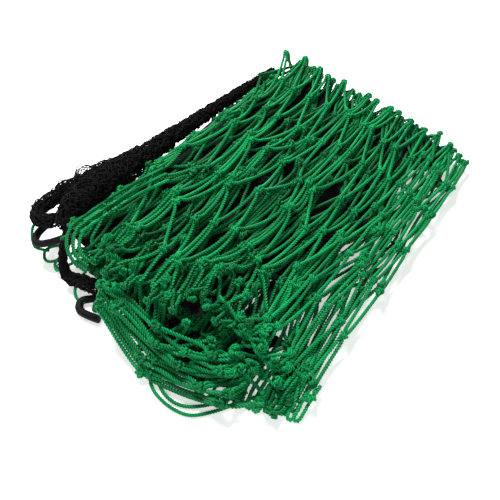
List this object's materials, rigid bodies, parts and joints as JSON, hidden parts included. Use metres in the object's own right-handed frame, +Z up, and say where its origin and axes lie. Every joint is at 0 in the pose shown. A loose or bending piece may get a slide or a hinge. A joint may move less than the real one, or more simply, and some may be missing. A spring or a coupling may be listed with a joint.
{
  "type": "folded cargo net",
  "caption": "Knotted green twine net lined with fine black mesh and edged with black rope, folded into a flat stack whose upper pleats open like pages.",
  "frame": {"origin": "on the ground, under the middle of the folded stack's bounding box", "axes": "+Z up; +Y along the strands, from the near fold to the far fold; +X across the strands, from the thick left side to the thin right side"},
  "size_m": [0.2633, 0.348, 0.058],
  "materials": {
    "green_twine": "three-strand laid polypropylene twine, satin",
    "black_liner": "fine knitted mesh, matte",
    "black_rope": "smooth braided cover, matte"
  },
  "bodies": {
    "base": {"net_lower_pleat": "green_twine", "net_bottom_pleat": "green_twine", "net_near_swag": "green_twine", "net_side_bunch": "green_twine", "liner_side_roll": "black_liner", "liner_outer_roll": "black_liner", "liner_corner_roll": "black_liner", "border_rope_side": "black_rope", "border_rope_near": "black_rope"},
    "middle_pleat": {"net_middle_pleat": "green_twine", "liner_inner_sheet": "black_liner"},
    "top_pleat": {"net_top_pleat": "green_twine"}
  },
  "joints": [
    {"name": "near_fold", "type": "hinge", "parent": "base", "child": "middle_pleat", "pos_m": [-0.001, -0.1755, 0.01765], "axis": [0.9848, 0, -0.1736], "range_deg": [0, 150]},
    {"name": "far_fold", "type": "hinge", "parent": "middle_pleat", "child": "top_pleat", "pos_m": [0.00147, 0.1745, 0.03168], "axis": [-0.9848, 0, 0.1736], "range_deg": [0, 165]}
  ]
}
